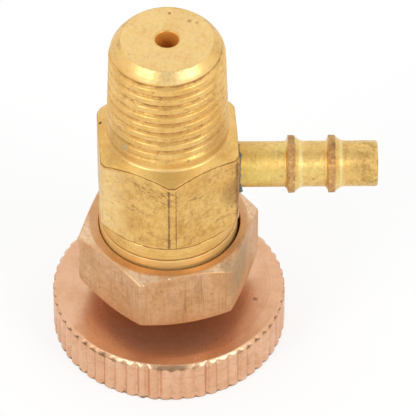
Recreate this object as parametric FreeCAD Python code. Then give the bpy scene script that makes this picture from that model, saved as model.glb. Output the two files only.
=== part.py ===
"""Fuel bleeder valve, in millimetres.

A hexagon body with a taper pipe thread on top and a hose tail soldered into its side.
A screw stem comes out below, through a packed gland, and carries a knurled handwheel.
Turning the handwheel screws the stem up until its loose cone tip shuts the seat.

Frame: the origin is the centre of the handwheel's underside, on the stem's axis.
+Z runs up the inlet thread and +X runs out along the hose tail.
The valve is modelled open, with the stem backed down onto the packing washer.
"""
import FreeCAD
import Part
import math
import os

# Clearances between pieces
running_clearance = 0.05    # radial, where one piece turns or slides in another
seat_clearance = 0.02       # radial or axial, where pieces are seated and stay put
cut_margin = 1.0            # how far a cutting tool starts outside the metal

# Handwheel
wheel_dia = 26.4            # over the knurl's ridges
wheel_height = 5.38
wheel_edge_chamfer = 0.34   # at the top edge
knurl_ridges = 60
knurl_depth = 0.3
knurl_groove_width = 0.52   # across a groove at the ridges' tops
knurl_turn = 1.0            # degrees from +X to the first groove
countersink_depth = 0.9     # under the wheel, for the riveted end of the stem
rivet_spread = 0.45         # how far the countersink stands over the spigot
rivet_inset = 0.1           # how far it lies above the underside

# Gland nut, a hexagon round the body's collar
wheel_gap = 2.67            # open space between the handwheel and the nut
nut_height = 7.68
nut_floor = 1.85            # thickness of the end that bears on the follower
nut_rim_wall = 0.98         # from the mouth to a flat
nut_corner_trim = 0.1       # turned off each corner
nut_chamfer_inset = 0.15    # from a flat in to where the end face starts
nut_top_chamfer = 24.6      # degrees
nut_foot_chamfer = 28.7     # degrees
nut_turn = -18.0            # degrees from +X to the first flat
nut_hole_clearance = 0.3    # round the stem
mouth_clearance = 0.27      # dark ring between the collar and the nut's mouth
mouth_depth = 1.5
mouth_floor_gap = 0.12

# Valve body
gland_shoulder = 0.95       # from the collar down to the male thread for the nut
collar_proud = 0.075        # the collar stands over the hexagon's flats
collar_height = 3.05        # seen above the nut
scribed_line_depth = 0.1
scribed_line_width = 0.24
scribed_line_height = 1.27  # above the nut
hex_across_flats = 15.45
hex_corner_trim = 0.22      # turned off each corner
hex_height = 9.45           # along a corner
hex_turn = 3.0              # degrees from +X to the first flat
hex_foot_angle = 43.7       # degrees, the chamfer under the hexagon
shoulder_angle = 27.5       # degrees, the cone above the hexagon

# Inlet thread, quarter-inch taper pipe thread, as its crest envelope
inlet_length = 13.55
inlet_end_dia = 12.8        # crest diameter carried up to the end face
inlet_taper = 1.0 / 16.0    # diameter for length
inlet_end_flat_dia = 10.38  # flat end face inside the lead chamfer
inlet_lead_angle = 48.0     # degrees from the end face
orifice_dia = 2.6

# Inside of the body
packing_width = 2.0         # radial, from the stem out to the stuffing box's wall
chamber_dia = 6.6
seat_above_outlet = 6.8     # from the outlet's axis up to the seat's edge
outlet_above_hex = 4.76     # outlet's axis above the foot of a corner
outlet_passage_dia = 3.0

# Gland follower, packing and washer
take_up_gap = 1.5           # left between the nut's floor and the body
nose_reach = 1.2            # how far the follower enters the stuffing box
packing_rings = 2
packing_ring_height = 1.35
packing_washer_height = 0.6

# Stem and its loose tip
stem_dia = 6.0
spigot_dia = 4.8            # riveted through the wheel
stem_thread_dia = 8.0
stem_thread_length = 4.5
stem_neck_dia = 4.6
lift = 2.0                  # from open down to shut up on the seat
thread_run_out = 0.3
stop_gap = 0.1              # from the stem's shoulder to the packing washer
shut_gap = 0.02             # left between tip and seat when shut
tip_dia = 4.6
tip_half_angle = 30.0       # degrees
tip_end_dia = 1.2
tip_land = 1.25             # straight side below the cone
tip_gap = 0.1               # axial play between tip and stem
tip_shank_dia = 2.0
tip_head_dia = 2.6
tip_head_height = 0.8
socket_lip = 0.7            # rolled in over the tip's head

# Hose tail
tail_dia = 5.13
tail_bore_dia = 3.0
tail_reach = 23.4           # from the valve's axis to the tail's end
tail_socket_depth = 2.5     # how deep the tail sits in the body
tail_end_chamfer = 0.22
barb_count = 2
nose_length = 5.5           # plain end, from the first barb's rear to the tail's end
barb_pitch = 4.5
barb_height = 0.67          # over the tube
barb_crest = 0.65
barb_flare = 0.5            # sweep behind a barb
barb_slope = 1.15           # hollow slope in front of a barb
slope_break_height = 0.3    # share of the barb's height left where the slope breaks
slope_break_reach = 0.35    # share of the slope's length up to there
solder_leg = 0.5            # of the solder round the tail's root
solder_reach = 0.6
solder_edge_share = 0.45    # share of its reach that still has the full leg

# Heights, from the underside up
nut_base = wheel_height + wheel_gap
nut_top = nut_base + nut_height
mouth_floor = nut_top - mouth_depth
follower_foot = nut_base + nut_floor
body_base = follower_foot + take_up_gap
packing_foot = body_base + nose_reach
washer_foot = packing_foot + packing_rings * packing_ring_height
box_top = washer_foot + packing_washer_height
collar_base = mouth_floor + mouth_floor_gap
collar_top = nut_top + collar_height

# Radii and heights of the hexagon and what meets it
collar_radius = hex_across_flats / 2 + collar_proud
corner_radius = hex_across_flats / math.sqrt(3) - hex_corner_trim
hex_foot = collar_top + (corner_radius - collar_radius) * math.tan(math.radians(hex_foot_angle))
hex_top = hex_foot + hex_height
inlet_root_radius = inlet_end_dia / 2 + inlet_length * inlet_taper / 2
shoulder_top = hex_top + (corner_radius - inlet_root_radius) * math.tan(math.radians(shoulder_angle))
inlet_top = shoulder_top + inlet_length
gland_thread_radius = collar_radius - gland_shoulder
box_radius = stem_dia / 2 + packing_width
mouth_radius = collar_radius + mouth_clearance
nut_apothem = mouth_radius + nut_rim_wall

# Seat, outlet and the open stem
outlet_height = hex_foot + outlet_above_hex
seat_level = outlet_height + seat_above_outlet
stem_shoulder = box_top + stop_gap
stem_thread_top = stem_shoulder + stem_thread_length
stem_bore_top = stem_thread_top + lift + thread_run_out
tip_contact = seat_level - lift - shut_gap
tip_cone_foot = tip_contact - (tip_dia - orifice_dia) / 2 / math.tan(math.radians(tip_half_angle))
tip_cone_end = tip_contact + (orifice_dia - tip_end_dia) / 2 / math.tan(math.radians(tip_half_angle))
tip_shoulder = tip_cone_foot - tip_land
stem_top = tip_shoulder - tip_gap
tip_shank_foot = stem_top - socket_lip - tip_gap

# Outlet side
flat_distance = hex_across_flats / 2 / math.cos(math.radians(hex_turn))
tail_root = flat_distance - tail_socket_depth
tail_radius = tail_dia / 2


def section_point(point):
    """Point of a turned section, from its radius and height."""
    radius, height = point
    return FreeCAD.Vector(radius, 0, height)


def turned(*section):
    """Solid turned about the Z axis from the radius and height of each corner."""
    corners = [section_point(point) for point in section + section[:1]]
    face = Part.Face(Part.makePolygon(corners))
    return face.revolve(FreeCAD.Vector(0, 0, 0), FreeCAD.Vector(0, 0, 1), 360)


def laid_along_outlet(solid):
    """Lay a solid turned about Z along the outlet's axis, so its height runs out along +X."""
    laid = solid.copy()
    laid.rotate(FreeCAD.Vector(0, 0, 0), FreeCAD.Vector(0, 1, 0), 90)
    laid.translate(FreeCAD.Vector(0, 0, outlet_height))
    return laid


def hexagon_bar(apothem, turn, bottom, top):
    """Upright hexagon bar whose first flat faces turn degrees from +X."""
    corners = []
    for index in range(7):
        angle = math.radians(turn + 30 + 60 * index)
        reach = apothem / math.cos(math.radians(30))
        corners.append(FreeCAD.Vector(reach * math.cos(angle), reach * math.sin(angle), bottom))
    face = Part.Face(Part.makePolygon(corners))
    return face.extrude(FreeCAD.Vector(0, 0, top - bottom))


def body_blank():
    """Outside of the body as it leaves the lathe, with its scribed line."""
    line_height = nut_top + scribed_line_height
    half_line = scribed_line_width / 2
    end_flat_radius = inlet_end_flat_dia / 2
    lead_slope = math.tan(math.radians(inlet_lead_angle))
    lead_width = (inlet_end_dia / 2 - end_flat_radius) / (1 - lead_slope * inlet_taper / 2)
    lead_foot = inlet_top - lead_width * lead_slope
    return turned(
        (0, body_base),
        (gland_thread_radius, body_base),
        (gland_thread_radius, collar_base),
        (collar_radius, collar_base),
        (collar_radius, line_height - half_line),
        (collar_radius - scribed_line_depth, line_height),
        (collar_radius, line_height + half_line),
        (collar_radius, collar_top),
        (corner_radius, hex_foot),
        (corner_radius, hex_top),
        (inlet_root_radius, shoulder_top),
        (end_flat_radius + lead_width, lead_foot),
        (end_flat_radius, inlet_top),
        (0, inlet_top),
    )


def body_bore():
    """Stuffing box, stem thread, chamber, seat and orifice, as one core."""
    stem_bore_radius = stem_thread_dia / 2 + running_clearance
    return turned(
        (0, body_base),
        (box_radius, body_base),
        (box_radius, box_top),
        (stem_bore_radius, box_top),
        (stem_bore_radius, stem_bore_top),
        (chamber_dia / 2, stem_bore_top),
        (chamber_dia / 2, seat_level),
        (orifice_dia / 2, seat_level),
        (orifice_dia / 2, inlet_top),
        (0, inlet_top),
    )


def outlet_bore():
    """Passage from the chamber and the socket that takes the hose tail."""
    socket_radius = tail_radius + seat_clearance
    reach = corner_radius + cut_margin
    return laid_along_outlet(turned(
        (0, 0),
        (outlet_passage_dia / 2, 0),
        (outlet_passage_dia / 2, tail_root),
        (socket_radius, tail_root),
        (socket_radius, reach),
        (0, reach),
    ))


def make_valve_body():
    """Hexagon body with collar, gland thread, inlet thread, seat and outlet."""
    flats_height = shoulder_top - collar_top
    sleeve = Part.makeCylinder(corner_radius + cut_margin, flats_height, FreeCAD.Vector(0, 0, collar_top))
    waste = sleeve.cut(hexagon_bar(hex_across_flats / 2, hex_turn, collar_top, shoulder_top))
    return body_blank().cut(waste).cut(body_bore()).cut(outlet_bore())


def make_hose_tail():
    """Tube with two barbs, each a flare, a narrow crest and a slope in two angles."""
    crest_radius = tail_radius + barb_height
    break_radius = tail_radius + slope_break_height * barb_height
    section = [(tail_bore_dia / 2, tail_root), (tail_radius, tail_root)]
    for index in reversed(range(barb_count)):
        rear = tail_reach - nose_length - index * barb_pitch
        crest_end = rear + barb_crest
        section += [
            (tail_radius, rear - barb_flare),
            (crest_radius, rear),
            (crest_radius, crest_end),
            (break_radius, crest_end + slope_break_reach * barb_slope),
            (tail_radius, crest_end + barb_slope),
        ]
    section += [
        (tail_radius, tail_reach - tail_end_chamfer),
        (tail_radius - tail_end_chamfer, tail_reach),
        (tail_bore_dia / 2, tail_reach),
    ]
    return laid_along_outlet(turned(*section))


def make_solder_ring():
    """Fillet of solder between the tail and the body's flat."""
    foot = flat_distance - tail_socket_depth / 2
    edge = flat_distance + solder_edge_share * solder_reach
    blank = laid_along_outlet(turned(
        (tail_radius, foot),
        (tail_radius + solder_leg, foot),
        (tail_radius + solder_leg, edge),
        (tail_radius, flat_distance + solder_reach),
    ))
    bar = hexagon_bar(hex_across_flats / 2, hex_turn, collar_top, shoulder_top)
    return blank.cut(bar)


def make_gland_nut():
    """Hexagon nut with a wide mouth for the collar and a hole for the stem."""
    corner = nut_apothem / math.cos(math.radians(30)) - nut_corner_trim
    end_radius = nut_apothem - nut_chamfer_inset
    foot_rise = (corner - end_radius) * math.tan(math.radians(nut_foot_chamfer))
    top_fall = (corner - end_radius) * math.tan(math.radians(nut_top_chamfer))
    thread_radius = gland_thread_radius + running_clearance
    hole_radius = stem_dia / 2 + nut_hole_clearance
    blank = turned(
        (hole_radius, nut_base),
        (end_radius, nut_base),
        (corner, nut_base + foot_rise),
        (corner, nut_top - top_fall),
        (end_radius, nut_top),
        (mouth_radius, nut_top),
        (mouth_radius, mouth_floor),
        (thread_radius, mouth_floor),
        (thread_radius, follower_foot),
        (hole_radius, follower_foot),
    )
    return blank.common(hexagon_bar(nut_apothem, nut_turn, nut_base, nut_top))


def packing_radii():
    """Bore and outside radius of what sits in the stuffing box round the stem."""
    return stem_dia / 2 + running_clearance, box_radius - seat_clearance


def ring_in_box(foot, top):
    """Square ring that fills the stuffing box round the stem between two heights."""
    inner, outer = packing_radii()
    return turned((inner, foot), (outer, foot), (outer, top), (inner, top))


def make_gland_follower():
    """Bush that the nut's floor presses up against the packing."""
    return ring_in_box(follower_foot, packing_foot)


def make_packing_ring(index):
    """One packing ring, counted from the follower up."""
    level = packing_foot + index * packing_ring_height
    return ring_in_box(level, level + packing_ring_height)


def make_packing_washer():
    """Washer on the stuffing box's ledge, which also stops the stem coming out."""
    return ring_in_box(washer_foot, box_top)


def make_stem():
    """Screw stem, riveted into the wheel below and holding the tip above."""
    spigot = spigot_dia / 2
    shank = stem_dia / 2
    thread = stem_thread_dia / 2
    neck = stem_neck_dia / 2
    rivet_edge = spigot + rivet_spread * (1 - rivet_inset / countersink_depth)
    socket_floor = tip_shank_foot - tip_head_height - tip_gap
    mouth = tip_shank_dia / 2 + running_clearance
    pocket = tip_head_dia / 2 + running_clearance
    return turned(
        (0, rivet_inset),
        (rivet_edge, rivet_inset),
        (spigot, countersink_depth),
        (spigot, wheel_height),
        (shank, wheel_height),
        (shank, stem_shoulder),
        (thread, stem_shoulder),
        (thread, stem_thread_top),
        (neck, stem_thread_top),
        (neck, stem_top),
        (mouth, stem_top),
        (mouth, stem_top - socket_lip),
        (pocket, stem_top - socket_lip),
        (pocket, socket_floor),
        (0, socket_floor),
    )


def make_valve_tip():
    """Loose cone that swivels on the stem, so that it shuts without scraping the seat."""
    return turned(
        (0, tip_shank_foot - tip_head_height),
        (tip_head_dia / 2, tip_shank_foot - tip_head_height),
        (tip_head_dia / 2, tip_shank_foot),
        (tip_shank_dia / 2, tip_shank_foot),
        (tip_shank_dia / 2, tip_shoulder),
        (tip_dia / 2, tip_shoulder),
        (tip_dia / 2, tip_cone_foot),
        (tip_end_dia / 2, tip_cone_end),
        (0, tip_cone_end),
    )


def wheel_turning():
    """Handwheel blank with a chamfered top edge, a bore and a countersink below."""
    radius = wheel_dia / 2
    bore = spigot_dia / 2 + seat_clearance
    return turned(
        (bore + rivet_spread, 0),
        (radius, 0),
        (radius, wheel_height - wheel_edge_chamfer),
        (radius - wheel_edge_chamfer, wheel_height),
        (bore, wheel_height),
        (bore, countersink_depth),
    )


def knurled_bar():
    """Round bar with straight V grooves, as tall as the handwheel."""
    radius = wheel_dia / 2
    step = 2 * math.pi / knurl_ridges
    half_groove = knurl_groove_width / 2 / radius

    def rim_point(reach, angle):
        """Point of the bar's foot."""
        return FreeCAD.Vector(reach * math.cos(angle), reach * math.sin(angle), 0)

    edges = []
    for index in range(knurl_ridges):
        groove = math.radians(knurl_turn) + index * step
        start = rim_point(radius, groove - half_groove)
        root = rim_point(radius - knurl_depth, groove)
        end = rim_point(radius, groove + half_groove)
        ridge_middle = rim_point(radius, groove + step / 2)
        next_start = rim_point(radius, groove + step - half_groove)
        edges.append(Part.LineSegment(start, root).toShape())
        edges.append(Part.LineSegment(root, end).toShape())
        edges.append(Part.Arc(end, ridge_middle, next_start).toShape())
    outline = Part.Wire(edges)
    return Part.Face(outline).extrude(FreeCAD.Vector(0, 0, wheel_height))


def make_handwheel():
    """Thick handwheel with a straight knurl round its edge."""
    return wheel_turning().common(knurled_bar())


def build_parts():
    """Every node's name and shape."""
    parts = {
        "valve_body": make_valve_body(),
        "hose_tail": make_hose_tail(),
        "solder_ring": make_solder_ring(),
        "gland_nut": make_gland_nut(),
        "gland_follower": make_gland_follower(),
        "packing_washer": make_packing_washer(),
        "stem": make_stem(),
        "valve_tip": make_valve_tip(),
        "handwheel": make_handwheel(),
    }
    for index in range(packing_rings):
        parts["packing_ring_" + str(index + 1)] = make_packing_ring(index)
    return parts


def write_parts():
    """Write one STEP file for each node and print its volume and height."""
    os.makedirs("parts", exist_ok=True)
    for name, shape in build_parts().items():
        solids = shape.Solids
        node = solids[0] if len(solids) == 1 else Part.makeCompound(solids)
        node.exportStep("parts/" + name + ".step")
        box = node.BoundBox
        print(name, "solids", len(solids), "valid", node.isValid(), "volume", round(node.Volume, 2),
              "z", round(box.ZMin, 3), round(box.ZMax, 3))


write_parts()
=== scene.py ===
"""Looks of the fuel bleeder valve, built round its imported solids.

Lengths are in millimetres in the row frame until a mesh is made, which turns them into metres.
The valve stands on its handwheel, its inlet thread runs up along Z and its hose tail runs out along X.
"""

import logging
import math
from dataclasses import dataclass, field
from enum import Enum

import bpy
import bmesh
import numpy as np
from mathutils import Matrix, Vector


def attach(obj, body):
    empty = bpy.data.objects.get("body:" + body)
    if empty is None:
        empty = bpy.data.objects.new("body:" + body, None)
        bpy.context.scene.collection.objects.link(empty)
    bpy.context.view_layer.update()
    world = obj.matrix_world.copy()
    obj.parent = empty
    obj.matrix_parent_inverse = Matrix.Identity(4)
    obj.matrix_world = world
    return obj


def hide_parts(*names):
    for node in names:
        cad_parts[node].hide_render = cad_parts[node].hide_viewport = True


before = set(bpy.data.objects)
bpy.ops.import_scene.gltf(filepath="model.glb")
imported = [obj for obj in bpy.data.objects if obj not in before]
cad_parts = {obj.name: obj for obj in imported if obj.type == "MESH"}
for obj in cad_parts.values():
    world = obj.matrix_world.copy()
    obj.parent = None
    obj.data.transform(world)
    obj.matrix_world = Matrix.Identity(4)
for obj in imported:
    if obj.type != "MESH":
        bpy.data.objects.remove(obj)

Array = np.ndarray
log = logging.getLogger("valve")
METRE = 0.001
TURN = 2.0 * math.pi
FRONT = -0.5 * math.pi
SIXTH = math.pi / 6.0
MERGE_DISTANCE = 2e-7


def soft_min(first: Array, second: Array, blend: Array | float) -> Array:
    """Smaller of two fields with a rounded change-over.

    Formula: where the two differ by less than the blend width, a parabola takes a little off the minimum.

    Args:
        first: One field of radii.
        second: The other field of radii.
        blend: Width of the change-over.

    Returns:
        The rounded minimum.
    """
    gap = np.clip(blend - np.abs(first - second), 0.0, None)
    return np.minimum(first, second) - gap * gap / (4.0 * blend)


def smooth_step(value: Array, low: float, high: float) -> Array:
    """Ease from 0 at low to 1 at high by the cubic 3t^2 - 2t^3."""
    share = np.clip((value - low) / (high - low), 0.0, 1.0)
    return share * share * (3.0 - 2.0 * share)


def bell(distance: Array, width: float) -> Array:
    """Bell curve of a distance, 1 at zero and about a third at the width."""
    return np.exp(-np.square(distance / width))


def around(angle: Array, centre: float) -> Array:
    """Angle counted from a centre, between minus half a turn and half a turn."""
    return np.mod(angle - centre + math.pi, TURN) - math.pi


def ripple(angle: Array, seed: int, waves: tuple[int, ...]) -> Array:
    """Smooth closed wobble round a circle, the sum of a few sines with seeded sizes and phases.

    Args:
        angle: Angles in radians.
        seed: Seed of the sizes and phases.
        waves: How many periods each sine has in a turn.

    Returns:
        The wobble, mostly between -1 and 1.
    """
    draw = np.random.default_rng(seed)
    total = np.zeros_like(angle)
    for count in waves:
        total = total + draw.uniform(0.4, 1.0) * np.sin(count * angle + draw.uniform(0.0, TURN))
    return total / max(1.0, 0.7 * len(waves))


def spread(start: float, end: float, count: int, ends: float = 0.0) -> Array:
    """Numbers from start to end, drawn together towards both ends.

    Formula: an even share s is bent to s - ends * sin(2 pi s) / (2 pi).

    Args:
        start: First number.
        end: Last number.
        count: How many numbers.
        ends: 0 for an even row, up to 1 for a row that is dense at its ends.

    Returns:
        The row of numbers.
    """
    share = np.linspace(0.0, 1.0, count)
    share = share - ends * np.sin(TURN * share) / TURN
    return start + (end - start) * share


@dataclass
class Grid:
    """Surface on rows and columns of points, with the values painted on it.

    The last column always meets the first. With turn_rows the last column meets the first that many rows
    further on, as a screw thread does.
    """
    points: Array
    paint: dict[str, Array] = field(default_factory=dict)
    turn_rows: int = 0
    ring: bool = False

    def faces(self) -> Array:
        """Corner numbers of each four-sided face, one row for each face."""
        rows, columns = self.points.shape[:2]
        top = rows if self.ring else rows - 1
        row, column = np.meshgrid(np.arange(top), np.arange(columns), indexing="ij")
        last = column == columns - 1
        here_next = np.where(last, row + self.turn_rows, row)
        above = row + 1
        above_next = np.where(last, above + self.turn_rows, above)
        if self.ring:
            above, above_next = above % rows, above_next % rows
        here_next = np.minimum(here_next, rows - 1)
        above_next = np.minimum(above_next, rows - 1)
        next_column = (column + 1) % columns
        corners = (row * columns + column, here_next * columns + next_column,
                   above_next * columns + next_column, above * columns + column)
        return np.stack(corners, axis=-1).reshape(-1, 4)


def turned_points(radius: Array, height: Array, angle: Array) -> Array:
    """Points of a surface round Z: x is radius times cos, y is radius times sin, z is height."""
    radius, height, angle = np.broadcast_arrays(radius, height, angle)
    return np.stack((radius * np.cos(angle), radius * np.sin(angle), height), axis=-1)


class Profile:
    """Rows of a surface turned round Z, with the values painted on them."""

    def __init__(self, angle: Array, paints: tuple[str, ...]) -> None:
        """Start with no rows.

        Args:
            angle: Column angles.
            paints: Names of the painted values, in the order in which add takes them.
        """
        self.angle = angle
        self.paints = paints
        self.rows: list[list[Array]] = []

    def add(self, radius: Array | float, height: Array | float, *values: Array | float) -> None:
        """Add one row: its radius, its height and its painted values, which are 0 where they are left out."""
        row = (radius, height, *values, *[0.0] * (len(self.paints) - len(values)))
        self.rows.append([np.broadcast_to(np.asarray(value, float), self.angle.shape) for value in row])

    def grid(self, ring: bool = False) -> Grid:
        """Surface through all rows, whose last row meets the first where ring is set."""
        radius, height, *painted = np.array(self.rows).transpose(1, 0, 2)
        points = turned_points(radius, height, self.angle[None, :])
        return Grid(points, dict(zip(self.paints, painted)), ring=ring)


def stacked(parts: tuple[Array, ...], columns: int) -> Array:
    """Rows of several parts under one another, each spread over the columns."""
    return np.concatenate([np.broadcast_to(part, (part.shape[0], columns)) for part in parts])


def make_piece(name: str, grids: list[Grid], body: str, stands_for: str) -> bpy.types.Object:
    """Join grids into one closed mesh object with outward faces, riding on a body.

    Args:
        name: Name of the piece.
        grids: Its surfaces, which share their border points.
        body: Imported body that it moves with.
        stands_for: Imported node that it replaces.

    Returns:
        The new object.
    """
    names = sorted({key for grid in grids for key in grid.paint})
    points, faces, start = [], [], 0
    for grid in grids:
        flat = grid.points.reshape(-1, 3)
        points.append(flat)
        faces.append(grid.faces() + start)
        start += len(flat)
    corners = np.concatenate(points) * METRE
    quads = np.concatenate(faces)
    mesh = bpy.data.meshes.new(name)
    mesh.from_pydata(corners, [], quads.tolist())
    for key in names:
        parts = [np.broadcast_to(grid.paint.get(key, np.zeros(1)), grid.points.shape[:2]).ravel()
                 for grid in grids]
        layer = mesh.attributes.new(key, "FLOAT", "POINT")
        layer.data.foreach_set("value", np.concatenate(parts).astype(np.float32))
    tidy = bmesh.new()
    tidy.from_mesh(mesh)
    bmesh.ops.remove_doubles(tidy, verts=tidy.verts, dist=MERGE_DISTANCE)
    bmesh.ops.dissolve_degenerate(tidy, edges=tidy.edges, dist=MERGE_DISTANCE)
    bmesh.ops.recalc_face_normals(tidy, faces=tidy.faces)
    open_edges = sum(1 for edge in tidy.edges if not edge.is_manifold)
    tidy.to_mesh(mesh)
    tidy.free()
    mesh.shade_smooth()
    piece = bpy.data.objects.new(name, mesh)
    bpy.context.scene.collection.objects.link(piece)
    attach(piece, body)
    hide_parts(stands_for)
    log.info("%s: %d faces, %d open edges", name, len(mesh.polygons), open_edges)
    return piece


def hexagon_columns(turn: float, corner_half: float, flat_steps: int, corner_steps: int) -> Array:
    """Column angles of a hexagon with turned corners, closer together at the borders of its flats.

    Args:
        turn: Angle from +X to the middle of the first flat, in radians.
        corner_half: Half the angle that a turned corner takes, in radians.
        flat_steps: Columns on each flat.
        corner_steps: Columns on each corner.

    Returns:
        The angles of one full turn, rising.
    """
    half_flat = SIXTH - corner_half
    flat = spread(-half_flat, half_flat, flat_steps + 1, 0.82)[:-1]
    corner = spread(half_flat, half_flat + 2.0 * corner_half, corner_steps + 1, 0.3)[:-1]
    sector = np.concatenate((flat, corner))
    return (turn + np.arange(6)[:, None] * (2.0 * SIXTH) + sector[None, :]).ravel()


def hexagon_radius(angle: Array, apothem: float, corner: float, turn: float, blend: float) -> Array:
    """Radius of a hexagon with turned corners: the flat's distance over the cosine, cut at the corners."""
    within = np.mod(angle - turn + SIXTH, 2.0 * SIXTH) - SIXTH
    return soft_min(apothem / np.cos(within), np.full_like(angle, corner), blend)


def corner_distance(angle: Array, half_flat: float, turn: float, reach: float, side: float) -> Array:
    """Distance along the rim from a flat's border, in millimetres.

    Args:
        angle: Angles round the axis.
        half_flat: Half the angle that a flat takes.
        turn: Angle from +X to the middle of the first flat.
        reach: Radius of the rim.
        side: 1 for the border where a flat ends, -1 for the one where it begins.

    Returns:
        The distances.
    """
    within = np.mod(angle - turn + SIXTH, 2.0 * SIXTH) - SIXTH
    return np.abs(within - side * half_flat) * reach


class Wire:
    """A shader number that can be added, multiplied and compared in Python."""

    def __init__(self, book: "NodeBook", socket: bpy.types.NodeSocket) -> None:
        """Keep the socket and the book that adds its nodes."""
        self.book = book
        self.socket = socket

    def _math(self, operation: str, *values: "Wire | float") -> "Wire":
        """Add one Math node and return its result."""
        node = self.book.node("ShaderNodeMath", {"operation": operation}, dict(enumerate(values)))
        return Wire(self.book, node.outputs[0])

    def __add__(self, other: "Wire | float") -> "Wire":
        """Sum."""
        return self._math("ADD", self, other)

    __radd__ = __add__

    def __sub__(self, other: "Wire | float") -> "Wire":
        """Difference."""
        return self._math("SUBTRACT", self, other)

    def __rsub__(self, other: "Wire | float") -> "Wire":
        """Difference with the number on the left."""
        return self._math("SUBTRACT", other, self)

    def __mul__(self, other: "Wire | float") -> "Wire":
        """Product."""
        return self._math("MULTIPLY", self, other)

    __rmul__ = __mul__

    def __pow__(self, other: "Wire | float") -> "Wire":
        """Power."""
        return self._math("POWER", self, other)

    def larger(self, other: "Wire | float") -> "Wire":
        """Larger of the two."""
        return self._math("MAXIMUM", self, other)

    def size(self) -> "Wire":
        """Number without its sign."""
        return self._math("ABSOLUTE", self)

    def ease(self, low: float, high: float) -> "Wire":
        """Smooth rise from 0 at low to 1 at high, or a fall where low is the larger."""
        node = self.book.node("ShaderNodeMapRange", {"interpolation_type": "SMOOTHSTEP"},
                              {"Value": self, "From Min": low, "From Max": high})
        return Wire(self.book, node.outputs[0])


Colour = tuple[float, float, float]


def paint_colour(red: int, green: int, blue: int) -> Colour:
    """Linear colour from red, green and blue of 0 to 255 as a screen shows them."""
    shares = (red / 255.0, green / 255.0, blue / 255.0)
    linear = [s / 12.92 if s <= 0.04045 else ((s + 0.055) / 1.055) ** 2.4 for s in shares]
    return (linear[0], linear[1], linear[2])


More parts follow.
